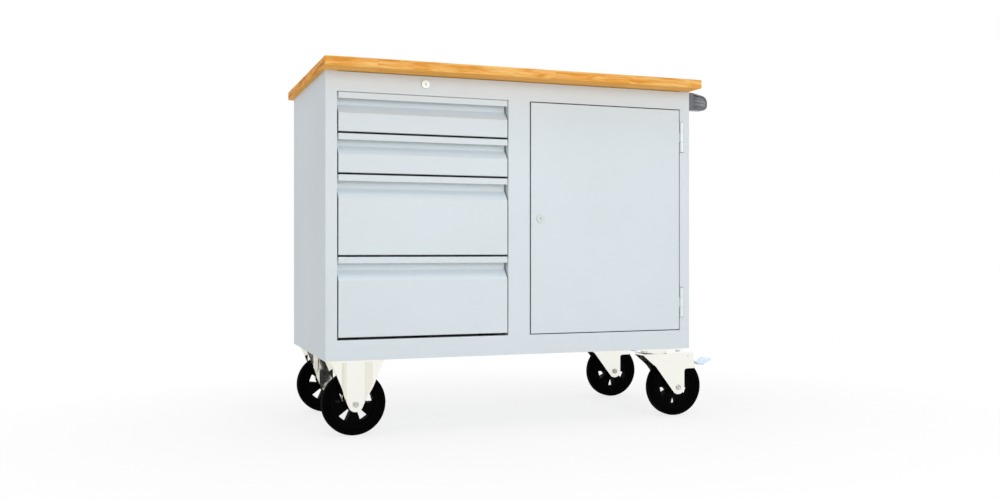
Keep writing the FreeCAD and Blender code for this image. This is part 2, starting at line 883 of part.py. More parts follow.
# Shelf: a pan with flanges turned down, resting on four clips
def make_shelf():
    low_x = partition_x + sheet / 2
    x_span = (low_x + shelf_side_gap, right_inner - shelf_side_gap)
    y_span = (shelf_front, back_inner - shelf_back_gap)
    bottom = shelf_height - shelf_flange
    tray = block(x_span, y_span, (bottom, shelf_height))
    inner_x = (x_span[0] + sheet, x_span[1] - sheet)
    inner_y = (y_span[0] + sheet, y_span[1] - sheet)
    add("shelf", tray.cut(block(inner_x, inner_y, (bottom - sheet, shelf_height - sheet))))
    clips = []
    for y in (y_span[0] + clip_inset, y_span[1] - clip_inset - clip_width):
        clip_low = bottom - clip_thickness
        path = [(low_x, shelf_height), (low_x, clip_low), (low_x + clip_reach, clip_low)]
        clip = along_y(folded(path, clip_thickness, on_front), (y, y + clip_width))
        clips += [clip, mirrored_x(clip, (low_x + right_inner) / 2)]
    add("shelf_clips", *clips)


# Push handle: moulded end brackets with a ribbed pocket, and a tube between them
def handle_outline(inset):
    high = cabinet_height - handle_top_gap
    low = high - handle_base_height
    middle = (high + low) / 2
    outer = cabinet_width + handle_reach
    inner = cabinet_width + handle_base
    points = [
        (inner, low + inset),
        (outer - inset, middle - handle_tip_height / 2 + inset),
        (outer - inset, middle + handle_tip_height / 2 - inset),
        (inner, high - inset),
    ]
    nose = handle_nose_radius - inset
    return rounded_face(points, [0, nose, nose, 0], on_front)


def handle_bar_x():
    return cabinet_width + handle_reach - handle_rim - handle_bar_radius


def handle_bracket():
    high = cabinet_height - handle_top_gap
    low = high - handle_base_height
    y_span = (handle_end_gap, handle_end_gap + handle_bracket_width)
    base = block((cabinet_width, cabinet_width + handle_base), y_span, (low, high))
    arm = along_y(handle_outline(0), y_span)
    # the pocket is deep beside the base and its floor rises towards the nose
    inner = cabinet_width + handle_base
    outer = cabinet_width + handle_reach - handle_rim
    floor = [(outer, y_span[0] + handle_pocket_shallow), (inner, y_span[0] + handle_pocket_deep)]
    room = rounded_face(floor + [(inner, 0), (outer, 0)], [0] * 4, on_plan)
    pocket = along_y(handle_outline(handle_rim), y_span).common(along_z(room, (low, high)))
    body = joined([base, arm]).cut(pocket)
    middle = (high + low) / 2
    ribs = []
    pitch = handle_tip_height / (handle_rib_count + 1)
    for step in range(handle_rib_count):
        z = middle + (step - (handle_rib_count - 1) / 2) * pitch
        rib = folded(floor, handle_rib_height, on_plan)
        ribs.append(along_z(rib, (z - handle_rib / 2, z + handle_rib / 2)))
    body = joined([body] + ribs)
    socket_start = Vec(handle_bar_x(), y_span[1] - handle_socket, middle)
    socket_end = socket_start + Vec(0, 2 * handle_socket, 0)
    holes = [rod(handle_bar_radius + running_play, socket_start, socket_end)]
    for place in handle_bolt_places()[:2]:
        hole_end = place + Vec(handle_bolt_grip, 0, 0)
        holes.append(rod(bolt_radius + running_play, place - Vec(sheet, 0, 0), hole_end))
    return body.cut(holes)


def make_handle():
    near = handle_bracket()
    add("handle_brackets", near, mirrored_y(near, cabinet_depth / 2))
    middle = cabinet_height - handle_top_gap - handle_base_height / 2
    start_y = handle_end_gap + handle_bracket_width - handle_socket
    start = Vec(handle_bar_x(), start_y, middle)
    end = Vec(handle_bar_x(), cabinet_depth - start_y, middle)
    add("handle_bar", rod(handle_bar_radius, start, end).cut(rod(handle_bar_bore, start, end)))


# Wheels: a rubber tyre on a moulded rim with a hub, a web with windows and a flange
def make_wheel(name, x, y, first_turn):
    centre = Vec(x, y, axle_z)
    half = tyre_width / 2
    tread = [(rim_radius, -half), (wheel_radius, -half), (wheel_radius, half), (rim_radius, half)]
    add(f"{name}_tyre", turned(tread, [0, tyre_shoulder, tyre_shoulder, 0], centre))
    bore = axle_radius + running_play
    web = web_thickness / 2
    rim_half = half - rim_inset
    flange = rim_radius - rim_flange
    section = [
        (bore, -hub_half),
        (hub_radius - hub_taper, -hub_half),
        (hub_radius, -web),
        (flange, -web),
        (flange + rim_taper, -rim_half),
        (rim_radius, -rim_half),
        (rim_radius, rim_half),
        (flange + rim_taper, rim_half),
        (flange, web),
        (hub_radius, web),
        (hub_radius - hub_taper, hub_half),
        (bore, hub_half),
    ]
    rim = turned(section, [0] * len(section), centre)
    windows = []
    for step in range(window_count):
        turn = math.radians(first_turn + 360 / window_count * step)
        points = []
        for radius, side in ((window_inner, -1), (window_outer, -1), (window_outer, 1), (window_inner, 1)):
            angle = turn + side * math.radians(window_angle / 2)
            points.append((x + radius * math.cos(angle), axle_z + radius * math.sin(angle)))
        window = rounded_face(points, [window_corner] * 4, on_front)
        windows.append(along_y(window, (y - half, y + half)))
    add(f"{name}_rim", rim.cut(windows))


def caster_plate(x, y):
    low_x = x - plate_length / 2
    high_x = x + plate_length / 2
    low_y = y - plate_width / 2
    high_y = y + plate_width / 2
    points = [(low_x, low_y), (high_x, low_y), (high_x, high_y), (low_x, high_y)]
    plate = along_z(rounded_face(points, [plate_corner] * 4, on_plan), (-plate_thickness, 0))
    down = Vec(0, 0, 2 * plate_thickness)
    holes = [rod(bolt_radius + bolt_room, place - down, place + down) for place in caster_bolt_places(x, y)]
    return plate.cut(holes)


def caster_axle(x, y):
    # a pin through both fork legs, riveted over to a round dimpled head at each end
    end = fork_outer + axle_head
    points = [
        (0, axle_dimple - end),
        (axle_dimple_radius, -end),
        (axle_head_radius, -end),
        (axle_head_radius, -fork_outer),
        (axle_radius, -fork_outer),
        (axle_radius, fork_outer),
        (axle_head_radius, fork_outer),
        (axle_head_radius, end),
        (axle_dimple_radius, end),
        (0, end - axle_dimple),
    ]
    radii = [0, 0, axle_head_round, 0, 0, 0, 0, axle_head_round, 0, 0]
    return turned(points, radii, Vec(x, y, axle_z))


def axle_hole(x, y):
    reach = Vec(0, 2 * fork_outer, 0)
    centre = Vec(x, y, axle_z)
    return rod(axle_radius + running_play, centre - reach, centre + reach)


def tangent_apex(corner, centre, radius, side_x):
    # where the line from the corner along the tip circle meets the upright line at side_x
    distance = math.hypot(centre[0] - corner[0], centre[1] - corner[1])
    heading = math.atan2(centre[1] - corner[1], centre[0] - corner[0]) - math.asin(radius / distance)
    return (side_x, corner[1] + (side_x - corner[0]) * math.tan(heading))


# Fixed fork: pressed legs whose middle lies back between flanks in front of the bolts, with a round tip
def fixed_fork(y):
    half = fork_top / 2
    corner = (fixed_x - half, -plate_thickness)
    apex = tangent_apex(corner, (fixed_x, axle_z), fork_tip_radius, fixed_x)
    outline = [corner, apex, (fixed_x + half, -plate_thickness)]
    tapered = rounded_face(outline, [0, fork_tip_radius, 0], on_front)
    flange_y = -(bolt_spacing_y / 2 + bolt_head_radius + bolt_room + fork_sheet)
    slope_end = fork_flat + fork_slope
    path = [
        (fixed_x - half, flange_y),
        (fixed_x - slope_end, flange_y),
        (fixed_x - fork_flat, -fork_outer),
        (fixed_x + fork_flat, -fork_outer),
        (fixed_x + slope_end, flange_y),
        (fixed_x + half, flange_y),
    ]
    pressed = along_z(folded(path, fork_sheet, on_plan), (axle_z - 2 * fork_tip_radius, -plate_thickness))
    leg = pressed.common(along_y(tapered, (2 * flange_y, 0)))
    legs = [leg, mirrored_y(leg, 0)]
    placed = [shape.translated(Vec(0, y, 0)) for shape in legs]
    return joined([caster_plate(fixed_x, y)] + placed).cut(axle_hole(fixed_x, y))


def make_fixed_casters():
    add("fixed_forks", *[fixed_fork(y) for y in caster_ys])
    add("fixed_axles", *[caster_axle(fixed_x, y) for y in caster_ys])
    for place, y in zip(("front", "rear"), caster_ys):
        make_wheel(f"{place}_left", fixed_x, y, fixed_wheel_turn)


def swivel_plate(y):
    # top plate with the ball race and the king pin riveted under the fork
    race_low = -plate_thickness - race_height + race_play
    axis = Vec(swivel_x, y, 0)
    race = rod(race_radius, axis + Vec(0, 0, race_low), axis - Vec(0, 0, plate_thickness))
    low_edges = [edge for edge in race.Edges if edge.BoundBox.ZMax < race_low + race_play]
    race = race.makeFillet(race_round, low_edges)
    pin_low = web_low - race_play
    pin = rod(king_pin_radius, axis + Vec(0, 0, pin_low), axis + Vec(0, 0, race_low))
    head = rod(king_pin_head, axis + Vec(0, 0, pin_low - king_pin_head_height), axis + Vec(0, 0, pin_low))
    return joined([caster_plate(swivel_x, y), race, pin, head])


# Swivel fork: a channel whose legs run back to the axle and carry the pedal's pivot at the nose
def swivel_fork(y):
    rear = swivel_x - fork_rear
    nose = swivel_x + fork_nose
    leg_side = axle_x + fork_tip_radius
    knee = (swivel_x + fork_knee_x, web_top - fork_knee_drop)
    apex = tangent_apex(knee, (axle_x, axle_z), fork_tip_radius, leg_side)
    nose_z = web_top - fork_nose_drop
    outline = [
        (rear, web_top),
        (rear, web_top - fork_rear_drop),
        knee,
        apex,
        (leg_side, nose_z),
        (nose, nose_z),
        (nose - fork_rear_drop, web_top),
    ]
    radii = [0, fork_rear_drop / 2, fork_knee_radius, fork_tip_radius, fork_inner_corner, fork_nose_corner, 0]
    section = rounded_face(outline, radii, on_front)
    leg = along_y(section, (y - fork_outer, y - fork_inner))
    web_points = [
        (rear, y - fork_outer),
        (nose - fork_rear_drop, y - fork_outer),
        (nose - fork_rear_drop, y + fork_outer),
        (rear, y + fork_outer),
    ]
    web = along_z(rounded_face(web_points, [fork_rear_drop] * 4, on_plan), (web_low, web_top))
    body = joined([leg, mirrored_y(leg, y), web])
    pin_place = Vec(swivel_x, y, web_low)
    through = Vec(0, 0, 2 * fork_sheet)
    pin_hole = rod(king_pin_radius + running_play, pin_place - through, pin_place + through)
    pivot = Vec(pedal_x, y, pedal_z)
    reach = Vec(0, 2 * fork_outer, 0)
    pivot_hole = rod(pedal_pin_radius + running_play, pivot - reach, pivot + reach)
    return body.cut([pin_hole, pivot_hole, axle_hole(axle_x, y)])


# Brake pedal: a bent strip on a pivot pin, with a shoe above the tyre and an upturned tread
def brake_pedal(y):
    bend = (pedal_x + pedal_arm_reach, pedal_z - pedal_arm_drop)
    tip = (bend[0] + pedal_tread_reach, bend[1] + pedal_tread_rise)
    start = (pedal_x, pedal_z - pedal_hub_radius / 2)
    half = pedal_arm_width / 2
    wide = pedal_tread_width / 2
    arm = along_y(folded([start, bend, tip], pedal_sheet, on_front), (y - half, y + half))
    tread_start = (bend[0] + pedal_sheet, bend[1] + pedal_sheet * pedal_tread_rise / pedal_tread_reach)
    tread = along_y(folded([tread_start, tip], pedal_sheet, on_front), (y - wide, y + wide))
    hub = rod(pedal_hub_radius, Vec(pedal_x, y - half, pedal_z), Vec(pedal_x, y + half, pedal_z))
    pin = rod(pedal_pin_radius, Vec(pedal_x, y - fork_outer, pedal_z), Vec(pedal_x, y + fork_outer, pedal_z))
    shoe_half = shoe_length / 2
    shoe_end = shoe_x + shoe_width / 2
    shoe_span = (pedal_x + shoe_x - shoe_width / 2, pedal_x + shoe_end)
    shoe_top = pedal_z - pedal_arm_drop * shoe_x / pedal_arm_reach
    shoe = block(shoe_span, (y - shoe_half, y + shoe_half), (axle_z, shoe_top))
    tyre_z = axle_z + math.sqrt(wheel_radius ** 2 - (pedal_x + shoe_end - axle_x) ** 2)
    approach = math.hypot(shoe_end, pedal_z - tyre_z) * math.sin(math.radians(pedal_swing))
    room_radius = wheel_radius + approach + shoe_clear
    room = rod(room_radius, Vec(axle_x, y - half, axle_z), Vec(axle_x, y + half, axle_z))
    shoe = shoe.cut(room)
    return joined([arm, tread, hub, pin, shoe])


def make_swivel_casters():
    add("swivel_plates", *[swivel_plate(y) for y in caster_ys])
    for place, y in zip(("front", "rear"), caster_ys):
        make_wheel(f"{place}_right", axle_x, y, swivel_wheel_turn)
        add(f"{place}_swivel_fork", swivel_fork(y))
        add(f"{place}_swivel_axle", caster_axle(axle_x, y))
        add(f"{place}_brake_pedal", brake_pedal(y))


# Bolts of the casters, with nuts on the base, and of the handle, with heads inside the panel
def make_bolts():
    bolts = []
    up = Vec(0, 0, 1)
    for place in all_caster_bolts():
        under = place - up * plate_thickness
        head = hexagon(bolt_head_radius, under - up * bolt_head, up, bolt_head)
        nut = hexagon(bolt_head_radius, place + up * base_sheet, up, bolt_head)
        shank = rod(bolt_radius, under, place + up * (base_sheet + bolt_head + bolt_tail))
        bolts.append(joined([head, shank, nut]))
    out = Vec(1, 0, 0)
    for place in handle_bolt_places():
        inside = place - out * sheet
        head = hexagon(bolt_head_radius, inside - out * bolt_head, out, bolt_head)
        shank = rod(bolt_radius, inside, place + out * (handle_bolt_grip - bolt_room))
        bolts.append(joined([head, shank]))
    add("mounting_bolts", *bolts)


make_worktop()
make_side_panels()
make_rails_and_stile()
make_inner_panels()
make_posts_and_crossbars()
make_runners()
make_drawers()
make_drawer_lock()
make_lock_bar()
make_door()
make_door_lock()
make_hinges()
make_shelf()
make_handle()
make_fixed_casters()
make_swivel_casters()
make_bolts()

os.makedirs("parts", exist_ok=True)
for name, solids in nodes.items():
    placed = [solid.translated(origin_shift) for solid in solids]
    shape = placed[0] if len(placed) == 1 else Part.makeCompound(placed)
    shape.exportStep(f"parts/{name}.step")
    volume = sum(solid.Volume for solid in placed) / 1000
    print(f"{name}: {len(placed)} solid(s), {volume:.1f} cm3, valid {all(s.isValid() for s in placed)}")
print(f"{len(nodes)} nodes")
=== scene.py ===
import json
import math
import bpy
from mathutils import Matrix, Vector


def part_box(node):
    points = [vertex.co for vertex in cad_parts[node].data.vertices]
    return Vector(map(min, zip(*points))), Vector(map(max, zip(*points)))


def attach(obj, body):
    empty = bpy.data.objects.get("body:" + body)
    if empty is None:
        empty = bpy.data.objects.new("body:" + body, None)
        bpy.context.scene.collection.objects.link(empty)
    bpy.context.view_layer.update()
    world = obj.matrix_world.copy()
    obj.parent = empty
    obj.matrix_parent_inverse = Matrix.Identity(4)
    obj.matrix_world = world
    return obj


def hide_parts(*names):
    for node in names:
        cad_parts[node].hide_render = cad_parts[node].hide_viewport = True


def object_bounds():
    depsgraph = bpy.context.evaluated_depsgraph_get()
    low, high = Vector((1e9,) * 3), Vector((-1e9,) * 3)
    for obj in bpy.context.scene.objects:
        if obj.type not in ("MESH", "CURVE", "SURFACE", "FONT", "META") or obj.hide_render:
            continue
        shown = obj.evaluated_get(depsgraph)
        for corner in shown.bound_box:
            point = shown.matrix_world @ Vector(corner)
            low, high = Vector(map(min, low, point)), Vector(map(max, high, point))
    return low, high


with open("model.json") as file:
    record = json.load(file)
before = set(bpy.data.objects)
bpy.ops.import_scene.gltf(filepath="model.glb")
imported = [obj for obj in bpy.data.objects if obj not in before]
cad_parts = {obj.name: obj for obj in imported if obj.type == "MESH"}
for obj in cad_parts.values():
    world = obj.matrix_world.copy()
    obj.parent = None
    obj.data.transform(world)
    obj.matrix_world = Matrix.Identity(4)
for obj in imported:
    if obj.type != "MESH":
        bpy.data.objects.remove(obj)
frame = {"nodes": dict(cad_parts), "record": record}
cadBox = [list(corner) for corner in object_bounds()]
nodes = frame["nodes"]
print("frame loaded:", len(nodes), "nodes")

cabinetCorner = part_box("left_side_panel")[0]  # front lower left corner of the cabinet
floorHeight = cadBox[0][2]
hair = 0.0005  # places closer than this are the same
facingLimit = 0.9  # a face whose normal has more than this along an axis faces that way
smoothAngle = math.radians(35)  # sharper edges stay sharp


# Shader sockets as values

class Value:
    def __init__(self, tree, socket):
        self.tree = tree
        self.socket = socket

    def maths(self, operation, other=0.0, swapped=False):
        node = self.tree.nodes.new("ShaderNodeMath")
        node.operation = operation
        pair = (other, self) if swapped else (self, other)
        for place, item in zip(node.inputs, pair):
            if isinstance(item, Value):
                self.tree.links.new(item.socket, place)
            else:
                place.default_value = item
        return Value(self.tree, node.outputs[0])

    def other(self, name):
        # another output of the node that this value comes from
        return Value(self.tree, self.socket.node.outputs[name])

    def __add__(self, other):
        return self.maths("ADD", other)

    def __radd__(self, other):
        return self.maths("ADD", other, True)

    def __sub__(self, other):
        return self.maths("SUBTRACT", other)

    def __rsub__(self, other):
        return self.maths("SUBTRACT", other, True)

    def __mul__(self, other):
        return self.maths("MULTIPLY", other)

    def __rmul__(self, other):
        return self.maths("MULTIPLY", other, True)

    def __truediv__(self, other):
        return self.maths("DIVIDE", other)

    def __rtruediv__(self, other):
        return self.maths("DIVIDE", other, True)


class Finish:
    # the nodes of one material or surround
    def __init__(self, owner):
        owner.use_nodes = True
        self.owner = owner
        self.tree = owner.node_tree
        self.tree.nodes.clear()

    def add(self, kind, settings=None, sockets=None, out=0):
        node = self.tree.nodes.new(kind)
        for name, value in (settings or {}).items():
            setattr(node, name, value)
        for name, value in (sockets or {}).items():
            if isinstance(value, Value):
                self.tree.links.new(value.socket, node.inputs[name])
            else:
                node.inputs[name].default_value = value
        return Value(self.tree, node.outputs[out]) if node.outputs else None

    def place(self):
        return self.add("ShaderNodeTexCoord", out="Object")

    def stretch(self, vector, scale):
        return self.add("ShaderNodeMapping", {}, {"Vector": vector, "Scale": scale})

    def noise(self, vector, scale, detail, roughness=0.5):
        sockets = {"Vector": vector, "Scale": scale, "Detail": detail, "Roughness": roughness}
        return self.add("ShaderNodeTexNoise", {}, sockets)

    def streaks(self, vector, scale, detail, roughness=0.5):
        # noise with a scale of its own along each axis
        return self.noise(self.stretch(vector, scale), 1.0, detail, roughness)

    def draw(self, seed):
        # one random number for each seed
        return self.add("ShaderNodeTexWhiteNoise", {"noise_dimensions": "1D"}, {"W": seed})

    def ramp(self, factor, low, high):
        # straight rise from 0 at low to 1 at high
        sockets = {"Value": factor, "From Min": low, "From Max": high}
        return self.add("ShaderNodeMapRange", {"clamp": True}, sockets)

    def mix(self, factor, first, second):
        # 6, 7 and 2 are the node's sockets for colours
        return self.add("ShaderNodeMix", {"data_type": "RGBA"}, {0: factor, 6: first, 7: second}, 2)

    def shift(self, vector, offset):
        return self.add("ShaderNodeVectorMath", {"operation": "ADD"}, {0: vector, 1: offset})

    def facing(self, axis):
        # how far the surface faces along an axis of its piece
        normal = self.add("ShaderNodeTexCoord", out="Normal")
        return self.add("ShaderNodeSeparateXYZ", {}, {0: normal}, axis)

    def crevice(self, reach):
        # 0 in the open, up to 1 deep in a corner
        return 1 - self.add("ShaderNodeAmbientOcclusion", {"samples": 6}, {"Distance": reach}, "AO")

    def bump(self, height, strength, distance):
        return self.add("ShaderNodeBump", {}, {"Height": height, "Strength": strength, "Distance": distance})

    def shown(self):
        # 1 on what the camera sees straight, mirrored or through glass
        kinds = ("Camera", "Glossy", "Transmission")
        straight, mirrored, passed = (
            self.add("ShaderNodeLightPath", out=f"Is {kind} Ray") for kind in kinds
        )
        return (straight + mirrored + passed).maths("MINIMUM", 1.0)

    def surface(self, **sockets):
        named = {name.replace("_", " "): value for name, value in sockets.items()}
        shader = self.add("ShaderNodeBsdfPrincipled", {}, named)
        self.add("ShaderNodeOutputMaterial", {}, {"Surface": shader})
        return self.owner


def newFinish(name):
    return Finish(bpy.data.materials.new(name))


def colour(red, green, blue):
    # sRGB from 0 to 255 as the linear colour that shaders use
    channels = [red / 255, green / 255, blue / 255]
    linear = [c / 12.92 if c <= 0.04045 else ((c + 0.055) / 1.055) ** 2.4 for c in channels]
    return (*linear, 1.0)


# In the looks below a noise is given by its scale, detail and roughness, a band by the values at which a
# mask starts and is full, a share by how much of a mask counts, and a relief by its strength and height

# Powder coat on the sheet steel
paintLook = {
    "base": colour(211, 220, 225),
    "dust": colour(204, 212, 215),
    # painted light: a paler, bluer colour on faces that look up
    "paintedTopLight": colour(226, 238, 246),
    # painted shade: a warmer, duller colour in recesses
    "paintedRecessTint": colour(221, 222, 216),
    # painted shade: near black deep in gaps
    "paintedCreviceShade": colour(30, 32, 33),
    "cloud": (4.0, 4.0),
    "cloudBand": (0.35, 0.75),
    "cloudShare": 0.35,
    "speck": (260.0, 1.0),
    "speckBand": (0.70, 0.80),
    "speckShare": 0.10,
    "paintedTopLightBand": (0.35, 0.65),
    "paintedTopLightShare": 0.65,
    "paintedRecessTintReach": 0.03,
    "paintedRecessTintBand": (0.45, 0.75),
    "paintedRecessTintShare": 0.8,
    "gapReach": 0.012,
    "gapBand": (0.60, 0.84),
    "gapShare": 0.95,
    "peel": (900.0, 2.0),
    "peelRelief": (0.10, 0.0004),
    "rough": 0.42,
    "roughCloud": 0.10,
    "roughSpeck": 0.08,
    "coat": 0.05,
    "ior": 1.5,
}


def powderCoat(name, look):
    coat = newFinish(name)
    spot = coat.place()
    cloud = coat.noise(spot, *look["cloud"])
    peel = coat.noise(spot, *look["peel"])
    speck = coat.ramp(coat.noise(spot, *look["speck"]), *look["speckBand"])
    paintedTopLight = coat.ramp(coat.facing("Z"), *look["paintedTopLightBand"])
    paintedRecessTint = coat.ramp(coat.crevice(look["paintedRecessTintReach"]), *look["paintedRecessTintBand"])
    gap = coat.ramp(coat.crevice(look["gapReach"]), *look["gapBand"])
    tint = coat.mix(coat.ramp(cloud, *look["cloudBand"]) * look["cloudShare"], look["base"], look["dust"])
    tint = coat.mix(speck * look["speckShare"], tint, look["dust"])
    tint = coat.mix(paintedTopLight * look["paintedTopLightShare"], tint, look["paintedTopLight"])  # painted light: what faces up is paler and bluer, as if lit from above
    tint = coat.mix(paintedRecessTint * look["paintedRecessTintShare"], tint, look["paintedRecessTint"])  # painted shade: recesses get a warmer, duller tone, as paint looks in shade
    # painted shade: gaps and deep corners go near black
    tint = coat.mix(gap * look["gapShare"], tint, look["paintedCreviceShade"])
    rough = look["rough"] + cloud * look["roughCloud"] + speck * look["roughSpeck"]
    relief = coat.bump(peel, *look["peelRelief"])
    return coat.surface(
        Base_Color=tint, Roughness=rough, Normal=relief, IOR=look["ior"], Coat_Weight=look["coat"]
    )


# Oiled beech: staves glued side by side, finger jointed along their length
beechLook = {
    "pale": colour(248, 203, 126),
    "honey": colour(238, 173, 82),
    "brown": colour(204, 124, 40),
    # painted light on the underside
    "under": colour(247, 174, 65),
    "endOil": colour(253, 173, 34),
    "endGrain": colour(172, 90, 16),
    "fleck": colour(168, 96, 30),
    "glue": colour(170, 102, 40),
    "staveWidth": 0.043,
    "staveLength": 0.46,
    "firstStave": 40.5,  # counted from far outside, so that every stave has a number above 0
    "firstPiece": 20.0,
    "staveOffset": 7.0,  # how far the joints of a stave are moved along it, in lengths
    "staveSeed": 13.7,
    "pieceSeed": 3.1,
    "jump": (9.0, 3.0, 5.0),  # each piece is cut from another place in the tree
    "wander": ((3.2, 9.0, 9.0), 2.0),
    "wanderReach": 0.055,
    "flow": ((5.0, 95.0, 95.0), 4.0, 0.58),
    "honeyBand": (0.38, 0.56),
    "brownBand": (0.50, 0.70),
    "brownShare": 0.85,
    "rings": ((9.0, 420.0, 420.0), 3.0),
    "ringBand": (0.48, 0.70),
    "ringShare": 0.50,
    "pieceShare": 0.16,
    "flecks": ((160.0, 1500.0, 1500.0), 1.0),
    "fleckBand": (0.62, 0.72),
    "fleckShare": 0.40,
    "glueBand": (0.488, 0.499),
    "jointBand": (0.4985, 0.4998),
    "glueShare": 0.35,
    "streak": ((1.0, 8.0, 170.0), 3.0, 0.6),
    "streakBand": (0.45, 0.60),
    "streakShare": 0.7,
    "endBand": (0.5, 0.8),
    "endShare": 0.65,
    "underBand": (-0.3, -0.6),
    "underShare": 0.5,
    "relief": {"flow": 0.5, "rings": 0.3, "flecks": 0.4, "glue": 0.5},
    "grainRelief": (0.20, 0.0006),
    "rough": 0.46,
    "roughRings": 0.12,
    "roughFlecks": 0.10,
    "gloss": 0.06,
}


def oiledBeech(name, look):
    wood = newFinish(name)
    spot = wood.place()
    along = wood.add("ShaderNodeSeparateXYZ", {}, {0: spot}, "X")
    across = along.other("Y") / look["staveWidth"] + look["firstStave"]
    stave = across.maths("FLOOR")
    length = along / look["staveLength"] + wood.draw(stave) * look["staveOffset"] + look["firstPiece"]
    piece = length.maths("FLOOR")
    pieceDraw = wood.draw(stave * look["staveSeed"] + piece * look["pieceSeed"])
    jump = {axis: pieceDraw * size for axis, size in enumerate(look["jump"])}
    moved = wood.shift(spot, wood.add("ShaderNodeCombineXYZ", {}, jump))
    # the fibres wander a little across the stave as they run along it
    wander = (wood.streaks(moved, *look["wander"]) - 0.5) * look["wanderReach"]
    fibre = wood.shift(moved, wood.add("ShaderNodeCombineXYZ", {}, {"Y": wander, "Z": wander}))
    flow = wood.streaks(fibre, *look["flow"])
    rings = wood.streaks(fibre, *look["rings"])
    flecks = wood.ramp(wood.streaks(fibre, *look["flecks"]), *look["fleckBand"])
    # distance from the middle of a stave and of a piece, 0.5 at the glue
    edge = (across - stave - 0.5).maths("ABSOLUTE")
    joint = (length - piece - 0.5).maths("ABSOLUTE")
    glue = wood.ramp(edge, *look["glueBand"]).maths("MAXIMUM", wood.ramp(joint, *look["jointBand"]))
    tint = wood.mix(wood.ramp(flow, *look["honeyBand"]), look["pale"], look["honey"])
    tint = wood.mix(wood.ramp(flow, *look["brownBand"]) * look["brownShare"], tint, look["brown"])
    tint = wood.mix(wood.ramp(rings, *look["ringBand"]) * look["ringShare"], tint, look["brown"])
    tint = wood.mix(pieceDraw * look["pieceShare"], tint, look["brown"])
    tint = wood.mix(flecks * look["fleckShare"], tint, look["fleck"])
    tint = wood.mix(glue * look["glueShare"], tint, look["glue"])
    # the cut ends drink more oil, in streaks along them
    cutEnd = wood.ramp(wood.facing("X").maths("ABSOLUTE"), *look["endBand"])
    streak = wood.ramp(wood.streaks(spot, *look["streak"]), *look["streakBand"])
    tint = wood.mix(cutEnd * look["endShare"], tint, look["endOil"])
    tint = wood.mix(cutEnd * streak * look["streakShare"], tint, look["endGrain"])
    under = wood.ramp(wood.facing("Z"), *look["underBand"])  # painted light: the underside is brighter and more orange, as if lit from below
    tint = wood.mix(under * look["underShare"], tint, look["under"])
    part = look["relief"]
    height = flow * part["flow"] + rings * part["rings"] - flecks * part["flecks"] - glue * part["glue"]
    rough = look["rough"] + rings * look["roughRings"] + flecks * look["roughFlecks"]
    grain = wood.bump(height, *look["grainRelief"])
    return wood.surface(Base_Color=tint, Roughness=rough, Normal=grain, Specular_IOR_Level=look["gloss"])


# Bright zinc on the steel of the casters and fasteners
zincLook = {
    "base": colour(246, 245, 238),
    "blue": colour(239, 241, 241),
    "yellow": colour(248, 244, 228),
    # painted shade in the crevices of the zinc
    "paintedCreviceShade": colour(120, 119, 115),
    "cloud": (22.0, 3.0),
    "cloudBand": (0.42, 0.70),
    "cloudShare": 0.40,
    "spangle": 140.0,
    "spangleShare": 0.25,
    "paintedCreviceShadeReach": 0.006,
    "paintedCreviceShadeBand": (0.45, 1.0),
    "paintedCreviceShadeShare": 0.50,
    "brush": ((30.0, 30.0, 400.0), 3.0),
    "brushRelief": (0.04, 0.0003),
    "metal": 0.95,
    "rough": 0.04,
    "roughSpangle": 0.03,
    "roughBrush": 0.03,
}


def zincPlate(name, look):
    plate = newFinish(name)
    spot = plate.place()
    cell = {"Vector": spot, "Scale": look["spangle"]}
    spangle = plate.add("ShaderNodeTexVoronoi", {"feature": "F1"}, cell, "Color")
    flake = plate.add("ShaderNodeSeparateColor", {}, {"Color": spangle})
    brush = plate.streaks(spot, *look["brush"])
    cloud = plate.ramp(plate.noise(spot, *look["cloud"]), *look["cloudBand"])
    # painted shade: crevices of the zinc are darker
    paintedCreviceShade = plate.ramp(plate.crevice(look["paintedCreviceShadeReach"]), *look["paintedCreviceShadeBand"])
    tint = plate.mix(cloud * look["cloudShare"], look["base"], look["yellow"])
    tint = plate.mix(flake * look["spangleShare"], tint, look["blue"])
    tint = plate.mix(paintedCreviceShade * look["paintedCreviceShadeShare"], tint, look["paintedCreviceShade"])
    rough = look["rough"] + flake * look["roughSpangle"] + brush * look["roughBrush"]
    relief = plate.bump(brush, *look["brushRelief"])
    return plate.surface(Base_Color=tint, Metallic=look["metal"], Roughness=rough, Normal=relief)


# Nickel of the locks, turned on a lathe
nickelLook = {
    "base": colour(213, 222, 219),
    "line": colour(200, 207, 203),
    # painted shade in the key slot and tight corners
    "slot": colour(148, 148, 143),
    "lathe": ((900.0, 60.0, 900.0), 2.0),
    "latheBand": (0.55, 0.75),
    "latheShare": 0.35,
    "latheRelief": (0.05, 0.0002),
    "slotReach": 0.003,
    "slotBand": (0.5, 1.0),
    "slotShare": 0.8,
    "cloud": (60.0, 2.0),
    "metal": 0.4,
    "rough": 0.40,
    "roughCloud": 0.10,
}


def turnedNickel(name, look):
    nickel = newFinish(name)
    spot = nickel.place()
    lathe = nickel.streaks(spot, *look["lathe"])
    cloud = nickel.noise(spot, *look["cloud"])
    # painted shade: the key slot and tight corners are darker
    slot = nickel.ramp(nickel.crevice(look["slotReach"]), *look["slotBand"])
    tint = nickel.mix(nickel.ramp(lathe, *look["latheBand"]) * look["latheShare"], look["base"], look["line"])
    tint = nickel.mix(slot * look["slotShare"], tint, look["slot"])
    rough = look["rough"] + cloud * look["roughCloud"]
    relief = nickel.bump(lathe, *look["latheRelief"])
    return nickel.surface(Base_Color=tint, Metallic=look["metal"], Roughness=rough, Normal=relief)


